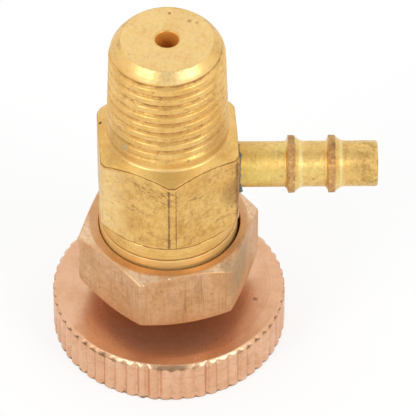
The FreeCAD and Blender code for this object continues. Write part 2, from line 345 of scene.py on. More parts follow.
class NodeBook:
    """Adds the nodes of one material or of the world."""

    def __init__(self, tree: bpy.types.NodeTree) -> None:
        """Start from an empty tree."""
        self.tree = tree
        tree.nodes.clear()

    def node(self, kind: str, settings: dict[str, object], values: dict[str | int, object]) -> bpy.types.Node:
        """Add one node.

        Args:
            kind: Type name of the node.
            settings: Properties that are set before its sockets are used.
            values: Value or link for each socket, by name or number.

        Returns:
            The new node.
        """
        made = self.tree.nodes.new(kind)
        for key, setting in settings.items():
            setattr(made, key, setting)
        for key, value in values.items():
            socket = made.inputs[key]
            if isinstance(value, Wire):
                self.tree.links.new(value.socket, socket)
            elif isinstance(value, bpy.types.NodeSocket):
                self.tree.links.new(value, socket)
            elif isinstance(value, tuple) and len(value) == 3 and socket.type == "RGBA":
                socket.default_value = (*value, 1.0)
            else:
                socket.default_value = value
        return made

    def place(self) -> bpy.types.NodeSocket:
        """Object coordinates, in metres."""
        return self.node("ShaderNodeTexCoord", {}, {}).outputs["Object"]

    def axes(self, place: bpy.types.NodeSocket) -> tuple[Wire, Wire, Wire]:
        """X, Y and Z of a place, in millimetres."""
        split = self.node("ShaderNodeSeparateXYZ", {}, {0: place})
        return tuple(Wire(self, split.outputs[axis]) * (1.0 / METRE) for axis in range(3))

    def stretched(self, place: bpy.types.NodeSocket, scale: Colour) -> bpy.types.NodeSocket:
        """Place scaled apart on each axis, which draws a pattern out along the axis with the small number."""
        return self.node("ShaderNodeMapping", {}, {"Vector": place, "Scale": scale}).outputs[0]

    def ringed(self, place: bpy.types.NodeSocket, fine: float, wander: Wire) -> bpy.types.NodeSocket:
        """Place unrolled round the stem's axis, so that a noise in it draws rings on walls and on faces.

        Formula: the distance from the axis and the height, both times the number of rings in a millimetre,
        and a third number that lets the rings change along their way.

        Args:
            place: Object coordinates.
            fine: Rings in a millimetre.
            wander: Slow noise.

        Returns:
            The unrolled place.
        """
        x, y, z = self.axes(place)
        distance = (x * x + y * y) ** 0.5
        made = self.node("ShaderNodeCombineXYZ", {}, {0: distance * fine, 1: z * fine, 2: wander * 2.0})
        return made.outputs[0]

    def scratches(self, place: bpy.types.NodeSocket, scale: float, width: float) -> Wire:
        """Thin crooked lines where a noise passes through its middle, broken up by a coarser noise."""
        line = (self.noise(place, scale, 2.0, 0.5) - 0.5).size().ease(width, 0.2 * width)
        return line * self.noise(place, 0.7 * scale, 2.0).ease(0.5, 0.6)

    def noise(self, place: bpy.types.NodeSocket, scale: float, detail: float = 3.0, rough: float = 0.6) -> Wire:
        """Noise of a size given by scale, in features for each metre."""
        made = self.node("ShaderNodeTexNoise", {}, {"Vector": place, "Scale": scale, "Detail": detail,
                                                    "Roughness": rough})
        return Wire(self, made.outputs[0])

    def dots(self, place: bpy.types.NodeSocket, scale: float, random: float = 1.0) -> Wire:
        """Distance to the nearest of scattered points, in cells."""
        made = self.node("ShaderNodeTexVoronoi", {}, {"Vector": place, "Scale": scale, "Randomness": random})
        return Wire(self, made.outputs["Distance"])

    def painted(self, name: str) -> Wire:
        """Value painted on the mesh under a name."""
        made = self.node("ShaderNodeAttribute", {"attribute_name": name}, {})
        return Wire(self, made.outputs["Fac"])

    def mixed(self, share: "Wire | float", first: object, second: object) -> bpy.types.NodeSocket:
        """Colour between two colours, the first at a share of 0."""
        made = self.node("ShaderNodeMix", {"data_type": "RGBA"}, {0: share, 6: first, 7: second})
        return made.outputs[2]

    def near(self, place: bpy.types.NodeSocket, centre: Colour, reach: float, wobble: Wire) -> Wire:
        """Spot round a place: 1 at its centre and 0 at its reach in millimetres, with a ragged rim."""
        offset = self.node("ShaderNodeVectorMath", {"operation": "DISTANCE"},
                           {0: place, 1: tuple(METRE * value for value in centre)})
        distance = Wire(self, offset.outputs["Value"]) * (1.0 / METRE)
        return (distance + (wobble - 0.5) * reach).ease(reach, 0.45 * reach)

    def bump(self, height: Wire, depth: float,
             under: bpy.types.NodeSocket | None = None) -> bpy.types.NodeSocket:
        """Normal bent by a height of the given depth in millimetres."""
        values: dict[str | int, object] = {"Height": height, "Distance": depth * METRE, "Strength": 1.0}
        if under is not None:
            values["Normal"] = under
        return self.node("ShaderNodeBump", {}, values).outputs[0]


class Cut(Enum):
    """Which way the tool marks of a finish run."""
    TURNED = "rings round the stem's axis"
    TAIL = "rings round the hose tail's axis"
    CAST = "no marks"


@dataclass(frozen=True)
class Spot:
    """Blemish, painted glint or patch of painted shade on the metal: its centre and reach in millimetres, its
    colour and how much it hides.
    """
    centre: Colour
    reach: float
    colour: Colour
    cover: float = 1.0


@dataclass(frozen=True)
class MetalFinish:
    """Brass or copper alloy with tool marks, blotches, scratches, pits, grime along edges and worn crests, with
    painted highlights in the crest value, painted shade in the edge value and a painted bounce of light in
    bores.
    """
    name: str
    base: Colour
    warm: Colour
    stain: Colour
    grime: Colour
    worn: Colour
    cut: Cut
    roughness: float = 0.3
    metal: float = 1.0
    blotch_size: float = 320.0
    smudge_size: float = 900.0
    grain_size: float = 2600.0
    scratch_size: float = 800.0
    pit_size: float = 700.0
    stain_share: float = 0.5
    scratch_share: float = 0.5
    brush_share: float = 0.0
    mark_depth: float = 0.004
    mark_share: float = 0.35
    rings: float = 4.2
    pit_share: float = 0.5
    grime_share: float = 0.8
    barb: Colour = (0.5, 0.3, 0.2)
    # Colour painted in bores with little metal: a painted bounce of light inside the hole.
    bore: Colour = (0.7, 0.3, 0.06)
    spots: tuple[Spot, ...] = ()

    def marks(self, book: NodeBook, place: bpy.types.NodeSocket, wander: Wire) -> Wire:
        """Height of the tool marks: fine rings broken up by noise.

        Args:
            book: Book of the material.
            place: Object coordinates.
            wander: Slow noise that lets the rings change along their way.

        Returns:
            The height, about 0 to 1.
        """
        if self.cut is Cut.TURNED:
            return book.noise(book.ringed(place, self.rings, wander), 1.0, 4.0, 0.7)
        scale = (8000.0, 110.0, 110.0) if self.cut is Cut.TAIL else (900.0, 900.0, 900.0)
        return book.noise(book.stretched(place, scale), 1.0, 4.0, 0.7)

    def build(self) -> bpy.types.Material:
        """Make the material.

        Returns:
            The finished material.
        """
        material = bpy.data.materials.new(self.name)
        material.use_nodes = True
        book = NodeBook(material.node_tree)
        place = book.place()
        cloud = book.noise(place, self.blotch_size, 4.0, 0.65)
        smudge = book.noise(place, self.smudge_size, 4.0, 0.7)
        grain = book.noise(place, self.grain_size, 4.0, 0.7)
        marks = self.marks(book, place, book.noise(place, 90.0, 1.0))
        milled = book.painted("milled")
        edge = book.painted("edge")
        crest = book.painted("crest")
        barb = book.painted("barb") * grain.ease(0.25, 0.55)
        bore = book.painted("bore")
        matte = book.painted("matte")

        colour = book.mixed(cloud.ease(0.35, 0.68), self.base, self.warm)
        colour = book.mixed(marks.ease(0.55, 0.8) * self.mark_share, colour, self.stain)
        mottle = grain.ease(0.4, 0.72) * (milled * 0.45 + 0.2) + smudge.ease(0.4, 0.7) * milled * 0.55
        colour = book.mixed(mottle * self.stain_share, colour, self.stain)
        drag = book.noise(book.stretched(place, (900.0, 900.0, 160.0)), 1.0, 5.0, 0.75)
        brush = book.noise(book.stretched(place, (3200.0, 3200.0, 130.0)), 1.0, 3.0, 0.7)
        colour = book.mixed(brush.ease(0.5, 0.75) * milled * self.brush_share, colour, self.stain)
        dirt = drag.ease(0.54, 0.72) * smudge.ease(0.42, 0.64) * (milled * 0.75 + 0.05)
        colour = book.mixed(dirt * self.stain_share, colour, self.stain)
        lines = book.scratches(book.stretched(place, (0.5, 0.5, 1.0)), self.scratch_size, 0.022)
        lines = lines * (milled * 0.7 + 0.3)
        colour = book.mixed(lines * self.scratch_share, colour, self.grime)
        pits = book.dots(place, self.pit_size).ease(0.17, 0.07) * book.noise(place, 500.0, 1.0).ease(0.5, 0.58)
        colour = book.mixed(pits * self.pit_share, colour, self.grime)
        colour = book.mixed(barb * 0.75, colour, self.barb)
        # The edge value paints grime along edges and grooves; in the gland nut's gap round the collar it is
        # painted shade.
        ragged = (edge + (smudge - 0.5) * 0.9).ease(0.3, 0.85) * edge.ease(0.0, 0.1)
        colour = book.mixed(ragged * self.grime_share, colour, self.grime)
        # The crest value paints the worn colour: on worn crests, and as painted highlights where a piece paints
        # it for light.
        colour = book.mixed(crest * grain.ease(0.3, 0.6), colour, self.worn)
        # The bore value paints the bore colour and takes away most of the metal below: a painted bounce of
        # light inside a hole.
        colour = book.mixed(bore, colour, self.bore)
        rough = self.roughness + (cloud - 0.5) * 0.25 + dirt * 0.25 + ragged * 0.25
        rough = rough + mottle * 0.15 + barb * 0.15
        metal = self.metal - ragged * 0.35 - bore * 0.85 - barb * 0.25 - matte * 0.6
        metal = metal - pits * 0.6 * self.pit_share - lines * 0.5 * self.scratch_share
        for spot in self.spots:
            here = book.near(place, spot.centre, spot.reach, smudge) * spot.cover
            colour = book.mixed(here, colour, spot.colour)
            metal = metal - here * spot.cover
            rough = rough + here * 0.3
        normal = book.bump(marks, self.mark_depth)
        normal = book.bump(smudge + milled * (drag * 1.5 + brush), 0.012, normal)
        normal = book.bump(grain, 0.006, normal)
        normal = book.bump(1.0 - pits * self.pit_share - lines * self.scratch_share, 0.03, normal)
        shader = book.node("ShaderNodeBsdfPrincipled", {}, {
            "Base Color": colour, "Metallic": metal.larger(0.0), "Roughness": rough.larger(0.12),
            "Normal": normal})
        book.node("ShaderNodeOutputMaterial", {}, {"Surface": shader.outputs[0]})
        return material


def plain_finish(name: str, base: Colour, metal: float, roughness: float) -> bpy.types.Material:
    """Simple finish with faint clouds and a fine grain, for pieces inside the valve.

    Args:
        name: Name of the material.
        base: Its colour.
        metal: 1 for metal and 0 for plastic.
        roughness: Its roughness.

    Returns:
        The finished material.
    """
    material = bpy.data.materials.new(name)
    material.use_nodes = True
    book = NodeBook(material.node_tree)
    place = book.place()
    cloud = book.noise(place, 500.0)
    grain = book.noise(book.stretched(place, (80.0, 80.0, 2500.0)), 1.0, 4.0)
    dark = tuple(0.6 * value for value in base)
    colour = book.mixed(cloud.ease(0.4, 0.75), base, dark)
    shader = book.node("ShaderNodeBsdfPrincipled", {}, {
        "Base Color": colour, "Metallic": metal, "Roughness": (cloud - 0.5) * 0.3 + roughness,
        "Normal": book.bump(grain, 0.004)})
    book.node("ShaderNodeOutputMaterial", {}, {"Surface": shader.outputs[0]})
    return material


def dress(piece: bpy.types.Object, material: bpy.types.Material) -> None:
    """Give a piece its one material."""
    piece.data.materials.clear()
    piece.data.materials.append(material)


@dataclass
class ValveBody:
    """Hexagon body with its taper pipe thread, shoulder, collar and bores."""
    base: float = 11.4
    gland_thread_radius: float = 6.85
    collar_base: float = 14.35
    collar_radius: float = 7.8
    collar_top: float = 18.78
    line_height: float = 17.0
    line_half: float = 0.12
    line_depth: float = 0.1
    apothem: float = 7.725
    corner_radius: float = 8.7
    hex_turn: float = math.radians(3.0)
    foot_slope: float = math.tan(math.radians(43.7))
    shoulder_slope: float = math.tan(math.radians(27.5))
    inlet_foot: float = 30.067
    inlet_top: float = 43.617
    end_radius: float = 5.19
    top_radius: float = 6.4
    taper: float = 1.0 / 32.0
    lead_slope: float = math.tan(math.radians(48.0))
    orifice: float = 1.3
    seat: float = 31.2
    chamber: float = 3.3
    stem_bore: float = 4.05
    stem_bore_top: float = 22.8
    box: float = 5.0
    box_top: float = 15.9
    pitch: float = 1.337
    thread_depth: float = 0.38
    groove_root: float = 0.03
    groove_mouth: float = 0.28
    thread_foot: float = 31.0
    thread_fade: float = 0.8
    thread_phase: float = 0.47
    lead_round: float = 0.8
    pitch_rows: int = 22
    edge_round: float = 0.3
    bright_side: float = math.radians(-141.0)
    fillet: float = 0.36
    left_line: float = 0.19
    right_line: float = 0.1
    dirty_corner: float = math.radians(62.0)

    def columns(self) -> Array:
        """Column angles, closer together at the hexagon's corners."""
        half = SIXTH - math.acos(self.apothem / self.corner_radius)
        return hexagon_columns(self.hex_turn, half, 36, 6)

    def crest(self, height: Array | float) -> Array | float:
        """Crest radius of the taper thread: the end radius plus a thirty-second of the way down."""
        return self.top_radius + (self.inlet_top - height) * self.taper

    def thread_grid(self, angle: Array) -> Grid:
        """Helical thread and lead chamfer.

        Formula: rows follow the helix, height = foot + row / rows-in-a-pitch * pitch + pitch * angle / turn,
        held between the thread's foot and the end face. The radius is the crest radius less the depth times a
        smooth step of the height within the pitch, rounded into the lead cone.

        Args:
            angle: Column angles.

        Returns:
            The grid.
        """
        turns = math.ceil((self.inlet_top - self.thread_foot) / self.pitch) + 2
        row = np.arange(turns * self.pitch_rows + 1)[:, None]
        share = (angle - angle[0])[None, :] / TURN
        climb = (row / self.pitch_rows - 1.0 + share) * self.pitch
        height = np.clip(self.thread_foot + climb, self.thread_foot, self.inlet_top)
        phase = np.mod(climb / self.pitch - share - self.thread_phase + 0.5, 1.0) - 0.5
        wave = 1.0 - smooth_step(np.abs(phase), self.groove_root, self.groove_mouth)
        fade = smooth_step(height, self.thread_foot, self.thread_foot + self.thread_fade)
        groove = self.thread_depth * wave * fade
        outer = self.crest(height) - groove
        lead = self.end_radius + (self.inlet_top - height) / self.lead_slope
        rounded = self.lead_round * smooth_step(self.inlet_top - height, 0.0, 1.0) + 0.02
        radius = soft_min(outer, lead, rounded)
        ends = (height <= self.thread_foot) | (height >= self.inlet_top)
        radius = np.where(ends, np.minimum(self.crest(height), lead), radius)
        depth = np.clip(groove / self.thread_depth, 0.0, 1.0) * smooth_step(lead - outer, 0.0, 0.1)
        grime = np.maximum(smooth_step(depth, 0.4, 0.95) * 0.62, bell(self.inlet_top - height, 0.12) * 0.3)
        milled = smooth_step(lead - outer, 0.0, 0.2) * 0.5
        cone = smooth_step(outer - lead, 0.0, 0.3)
        away = around(angle, FRONT)
        front = bell(away, math.radians(48.0))[None, :]
        grime = np.maximum(grime, 0.44 * cone * (1.0 - front))
        # The front of the lead chamfer is painted paler in the crest value: a painted highlight. Round the rest
        # of the chamfer it is painted with grime.
        paint = {"edge": grime, "milled": milled, "crest": 0.6 * cone * front,
                 "matte": milled * 0.7 + cone * 0.3}
        return Grid(turned_points(radius, height, angle[None, :]), paint, turn_rows=self.pitch_rows)

    def outer_rows(self, profile: Profile) -> None:
        """Add the rows of the plain band, shoulder, hexagon and collar from the thread's foot down.

        Formula: at each angle the hexagon's flat is as far out as its distance over the cosine. The shoulder
        cone comes down to that radius at the upper crease and the foot cone leaves it at the lower crease.

        Args:
            profile: Profile whose painted values are edge, milled, crest and matte.
        """
        angle, add = profile.angle, profile.add
        hexagon = hexagon_radius(angle, self.apothem, self.corner_radius, self.hex_turn, 0.03)
        band = self.crest(self.inlet_foot)
        upper = self.inlet_foot - (hexagon - band) * self.shoulder_slope
        lower = self.collar_top + np.clip(hexagon - self.collar_radius, 0.0, None) * self.foot_slope
        half_flat = math.acos(self.apothem / self.corner_radius)
        left, right = (corner_distance(angle, half_flat, self.hex_turn, self.corner_radius, border)
                       for border in (1.0, -1.0))
        side = np.maximum(bell(left, self.left_line), bell(right, self.right_line))
        away = around(angle, FRONT)
        side = side * (0.25 + 0.6 * bell(away, math.radians(35.0)))
        side = np.maximum(side, 0.75 * bell(away - self.dirty_corner, math.radians(3.5)))
        # A painted highlight: the flats round bright_side are painted paler in the crest value.
        shine = 0.6 * bell(around(angle, self.bright_side), math.radians(13.0))
        fillet = self.fillet
        for height in spread(self.thread_foot, self.inlet_foot + fillet, 8)[1:]:
            add(self.crest(height), height)
        # The fillet's front is painted paler in the crest value, a painted highlight along its bright arc; its
        # matte value only lowers the metal.
        for step in np.linspace(0.15, 1.0, 7):
            bend = fillet * (1.0 - math.cos(step * 1.1)) * 0.9
            add(band + bend, self.inlet_foot + fillet * (1.0 - math.sin(step * 1.1) * 1.12), 0.0, 0.0,
                0.5 * bell(away, math.radians(50.0)) * bell(np.array(step - 0.7), 0.5), 0.3)
        start_radius, start_height = profile.rows[-1][:2]
        for share in spread(0.0, 1.0, 10, 0.8)[1:-1]:
            add(start_radius + (hexagon - start_radius) * share,
                start_height + (upper - start_height) * share)
        rounding = self.edge_round
        for share in (-1.0, -0.5, -0.2, 0.0, 0.2, 0.5, 1.0):
            drop = rounding * share
            inward = rounding * 0.16 * (1.0 - abs(share)) ** 2
            slope = np.where(share < 0.0, drop / self.shoulder_slope, 0.0) * 0.8
            add(hexagon - inward + slope, upper - drop * (0.8 if share < 0 else 1.0),
                0.85 * bell(np.array(share), 0.7), 0.4)
        inner_top, inner_foot = upper - rounding, lower + rounding
        for share in spread(0.0, 1.0, 24, 0.5)[1:-1]:
            add(hexagon, inner_top + (inner_foot - inner_top) * share, side, 1.0, shine)
        for share in (1.0, 0.5, 0.2, 0.0):
            inward = rounding * 0.12 * (1.0 - share) ** 2
            crease = 0.85 * bell(np.array(share), 0.6)
            add(hexagon - inward, lower + rounding * share, np.maximum(crease, side), 0.5)
        neck = np.minimum(hexagon, self.collar_radius)
        for share in (0.25, 0.6, 1.0):
            add(neck + (hexagon - neck) * (1.0 - share), lower + (self.collar_top - lower) * share,
                0.7 * (1.0 - share))
        add(self.collar_radius - 0.04, self.collar_top - 0.01, 0.25)
        add(self.collar_radius, self.collar_top - 0.06)
        for height in spread(self.collar_top - 0.06, self.line_height + self.line_half, 8, 0.5)[1:]:
            add(self.collar_radius, height, 0.0, 0.2, 0.0, 0.3)
        for share in (0.7, 0.4, 0.15, 0.0, -0.15, -0.4, -0.7):
            add(self.collar_radius - self.line_depth * (1.0 - abs(share)),
                self.line_height + self.line_half * share, 1.0 - 0.6 * abs(share))
        # Below the scribed line the collar is painted a little paler in the crest value, a painted highlight,
        # and made more matte.
        for height in spread(self.line_height - self.line_half, self.collar_base + 0.1, 12, 0.3):
            add(self.collar_radius, height, 0.0, 0.2, 0.2, 0.7)

    def bore_rows(self) -> list[tuple[float, float, float]]:
        """Radius, height and grime of the rows from the collar's foot through the bores up to the end face."""
        face = self.inlet_top
        thread, collar = self.gland_thread_radius, self.collar_base
        rows = [(self.collar_radius - 0.1, collar, 0.0), (thread, collar, 0.0),
                (thread, self.base + 0.1, 0.0), (thread - 0.1, self.base, 0.0),
                (self.box, self.base, 0.0), (self.box, self.box_top, 0.0),
                (self.stem_bore, self.box_top, 0.0), (self.stem_bore, self.stem_bore_top, 0.0),
                (self.chamber, self.stem_bore_top, 0.0), (self.chamber, self.seat, 0.0)]
        rows += [(self.orifice, height, 0.0) for height in (self.seat, 36.0, 40.0, face - 1.2, face - 0.5,
                                                            face - 0.12)]
        rows += [(self.orifice + 0.03, face - 0.04, 0.25), (self.orifice + 0.1, face, 0.1),
                 (self.orifice + 0.3, face, 0.0)]
        rows += [(radius, face, 0.0) for radius in (2.2, 3.0, 3.8, 4.3)]
        rows += [(4.6, face, 0.25), (4.85, face, 0.0), (5.1, face - 0.004, 0.0), (self.end_radius, face, 0.0)]
        return rows

    def build(self) -> bpy.types.Object:
        """Make the body's mesh and dress it.

        Returns:
            The piece.
        """
        angle = self.columns()
        profile = Profile(angle, ("edge", "milled", "crest", "matte", "bore"))
        profile.add(self.crest(self.thread_foot), self.thread_foot)
        self.outer_rows(profile)
        for radius, height, dirt in self.bore_rows():
            # The orifice's wall gets the bore value, a painted bounce of light; the end face is painted paler
            # in the crest value and made more matte.
            face = radius > self.orifice + 0.1 and height >= self.inlet_top - 0.01
            bore = radius <= self.orifice and height > self.seat
            profile.add(radius, height, dirt, 0.0, 0.45 * face, 0.4 * face, float(bore))
        grids = [self.thread_grid(angle), profile.grid()]
        piece = make_piece("valve_body_dressed", grids, "body_group", "valve_body")
        dress(piece, BODY_BRASS.build())
        return piece


@dataclass
class GlandNut:
    """Hexagon nut round the collar, chamfered at both ends."""
    foot: float = 8.05
    top: float = 15.73
    apothem: float = 9.05
    corner_trim: float = 0.1
    chamfer_inset: float = 0.15
    top_slope: float = math.tan(math.radians(24.6))
    foot_slope: float = math.tan(math.radians(28.7))
    edge_break: float = 0.12
    turn: float = math.radians(-18.0)
    mouth: float = 7.99
    mouth_shift: float = 0.12
    gap_side: float = math.radians(-25.0)
    mouth_floor: float = 14.23
    thread_radius: float = 6.9
    floor: float = 9.9
    hole: float = 3.3

    def build(self) -> bpy.types.Object:
        """Make the nut's mesh and dress it.

        Formula: at each angle the side stands at the hexagon's radius, and each end cone comes down to that
        radius from the circle where the end face stops.

        Returns:
            The piece.
        """
        corner = self.apothem / math.cos(SIXTH) - self.corner_trim
        half_flat = math.acos(self.apothem / corner)
        angle = hexagon_columns(self.turn, SIXTH - half_flat, 34, 5)
        side = hexagon_radius(angle, self.apothem, corner, self.turn, 0.03)
        end = self.apothem - self.chamfer_inset
        upper = self.top - np.clip(side - end, 0.0, None) * self.top_slope
        lower = self.foot + np.clip(side - end, 0.0, None) * self.foot_slope
        border = np.maximum(bell(corner_distance(angle, half_flat, self.turn, corner, 1.0), 0.06),
                            bell(corner_distance(angle, half_flat, self.turn, corner, -1.0), 0.06))
        worn = smooth_step(side - end, 0.25, 0.9) * 0.65
        profile = Profile(angle, ("edge", "milled", "crest"))
        add = profile.add
        mouth = self.mouth + self.mouth_shift * np.cos(angle - self.gap_side)
        # The top face is painted darker towards the mouth: painted shade beside the gap round the collar.
        for radius, dirt in ((mouth + 0.03, 0.3), (mouth + 0.12, 0.25), (8.4, 0.25), (8.7, 0.2),
                             (end - 0.06, 0.1)):
            add(radius, self.top, dirt)
        add(end, self.top - 0.006)
        for share in (0.15, 0.5, 0.85):
            add(end + (side - end) * share, self.top + (upper - self.top) * share, 0.0, 0.0, worn)
        for share in (0.0, 0.3, 0.7, 1.0):
            add(side - 0.02 * (1.0 - share) ** 2, upper - self.edge_break * share, 0.25 * (1.0 - share))
        flat_top, flat_foot = upper - self.edge_break, lower + self.edge_break
        for share in spread(0.0, 1.0, 20, 0.5)[1:-1]:
            add(side, flat_top + (flat_foot - flat_top) * share, border * 0.5, 1.0)
        for share in (1.0, 0.7, 0.3, 0.0):
            add(side - 0.02 * (1.0 - share) ** 2, lower + self.edge_break * share)
        for share in (0.7, 0.3):
            add(end + (side - end) * share, self.foot + (lower - self.foot) * share)
        add(end, self.foot + 0.005)
        for radius in (end - 0.1, 7.0, 5.0, self.hole + 0.2):
            add(radius, self.foot)
        add(self.hole, self.foot + 0.15)
        add(self.hole, self.floor)
        add(self.thread_radius, self.floor)
        # The mouth's wall is painted dark in the edge value, deepest at its floor: painted shade in the gap
        # between the nut and the collar.
        add(self.thread_radius, self.mouth_floor, 0.3)
        add(mouth, self.mouth_floor, 0.9)
        for height, dirt in ((14.7, 0.7), (15.2, 0.5), (self.top - 0.15, 0.35), (self.top - 0.03, 0.3)):
            add(mouth, height, dirt)
        piece = make_piece("gland_nut_dressed", [profile.grid(True)], "body_group", "gland_nut")
        dress(piece, NUT_BRONZE.build())
        return piece


@dataclass
class Handwheel:
    """Thick wheel with a straight knurl round its edge."""
    radius: float = 13.2
    height: float = 5.38
    edge_chamfer: float = 0.42
    ridges: int = 60
    knurl_depth: float = 0.3
    groove_width: float = 0.9
    turn: float = math.radians(1.0)
    bore: float = 2.42
    countersink: float = 0.9
    spread: float = 0.45
    groove_wander: float = 0.13
    ridge_round: float = 0.05
    notch_recess: float = 0.08
    face_rows: tuple[float, ...] = (2.8, 3.2, 5.0, 7.0, 9.0, 10.5, 11.6, 12.4)
    seed: int = 11
    worn_arcs: tuple[tuple[float, float], ...] = ((-107.0, 9.0), (-66.0, 13.0), (48.0, 15.0), (150.0, 9.0))

    def build(self) -> bpy.types.Object:
        """Make the wheel's mesh and dress it.

        Formula: the rim's radius is the wheel's radius less a rounded groove, whose depth and place wander a
        little from groove to groove. The top chamfer cuts both, and its dirt runs down each groove as a V.

        Returns:
            The piece.
        """
        step = TURN / self.ridges
        half = 0.5 * self.groove_width / self.radius
        draw = np.random.default_rng(self.seed)
        local = np.array([-1.25, -1.0, -0.75, -0.45, -0.12, 0.12, 0.45, 0.75, 1.0, 1.25]) * half
        ridge = np.linspace(1.25 * half, step - 1.25 * half, 5)[1:-1]
        offsets = np.concatenate((local, ridge))
        shift = draw.normal(0.0, self.groove_wander, self.ridges) * half
        deep = self.knurl_depth * draw.uniform(0.6, 1.1, self.ridges)
        share = np.clip((offsets - local[-1]) / (step - 2.0 * local[-1]), 0.0, 1.0)[None, :]
        drift = shift[:, None] * (1.0 - share) + np.roll(shift, -1)[:, None] * share
        angle = (self.turn + np.arange(self.ridges)[:, None] * step + offsets[None, :] + drift).ravel()
        offset = np.tile(offsets, self.ridges)
        across = np.minimum(np.abs(offset), np.abs(step - offset)) / half
        valley = (1.0 - smooth_step(across, 0.0, 1.05)) * np.repeat(deep, len(offsets))
        middle = np.abs(np.mod(offset, step) - 0.5 * step) / (0.5 * step)
        rim = self.radius - valley - self.ridge_round * middle * middle
        in_groove = smooth_step(1.0 - across, 0.0, 0.9)
        bare = sum(bell(around(angle, math.radians(centre)), math.radians(width))
                   for centre, width in self.worn_arcs)
        bare = np.clip(bare * (1.0 + 0.4 * ripple(angle, 31, (23, 41, 67))), 0.0, 1.0)
        profile = Profile(angle, ("edge", "crest", "milled"))
        add = profile.add
        face = self.radius - self.edge_chamfer
        for radius in (self.bore, *self.face_rows, face - 0.12, face - 0.04):
            add(radius, self.height)
        ragged = 0.05 * ripple(angle, 5, (7, 19, 43, 61, 97))
        away = around(angle, FRONT)
        dull = (0.35 + 0.55 * bell(away, math.radians(30.0))) * (1.0 - bare)
        add(np.minimum(face + 0.3 * ragged, rim), self.height - 0.01, 0.3 * dull, 0.3 * bare)
        for share in (0.3, 0.65):
            cone = face + self.edge_chamfer * share
            add(np.minimum(cone, rim), self.height - self.edge_chamfer * share, dull, 0.6 * bare, 0.5)
        add(rim, self.height - self.edge_chamfer * 0.95 + ragged * 0.6, dull, 0.5 * bare, 0.5)
        for drop in (0.04, 0.12, 0.2, 0.3, 0.4, 0.5, 0.6, 0.72):
            notch = smooth_step(1.45 - across - 2.0 * drop, 0.0, 0.3)
            add(rim - self.notch_recess * notch, self.height - self.edge_chamfer - drop,
                np.maximum(notch * (0.9 - 0.7 * bare), 0.35 * in_groove), 0.7 * bare * notch, 0.6)
        for height in np.linspace(self.height - self.edge_chamfer - 0.9, 0.45, 12):
            wander = 0.012 * ripple(angle + height * 0.3, 9, (13, 31, 53))
            add(rim + wander * (across > 1.0) - 0.012, height, 0.35 * in_groove, 0.0, 0.6)
        add(rim + 0.35 * valley - 0.015, 0.15, 0.45 + 0.4 * in_groove, 0.0, 0.6)
        add(rim + 0.5 * valley - 0.08 - 0.06 * np.abs(ripple(angle, 17, (11, 29, 47))), 0.0, 0.9)
        for radius in (12.0, 10.0, 7.0, 4.0, self.bore + self.spread + 0.05):
            add(radius, 0.0)
        add(self.bore + self.spread, 0.01, 0.3)
        add(self.bore, self.countersink, 0.6)
        grids = [profile.grid(True)]
        piece = make_piece("handwheel_dressed", grids, "wheel_group", "handwheel")
        dress(piece, WHEEL_BRONZE.build())
        return piece


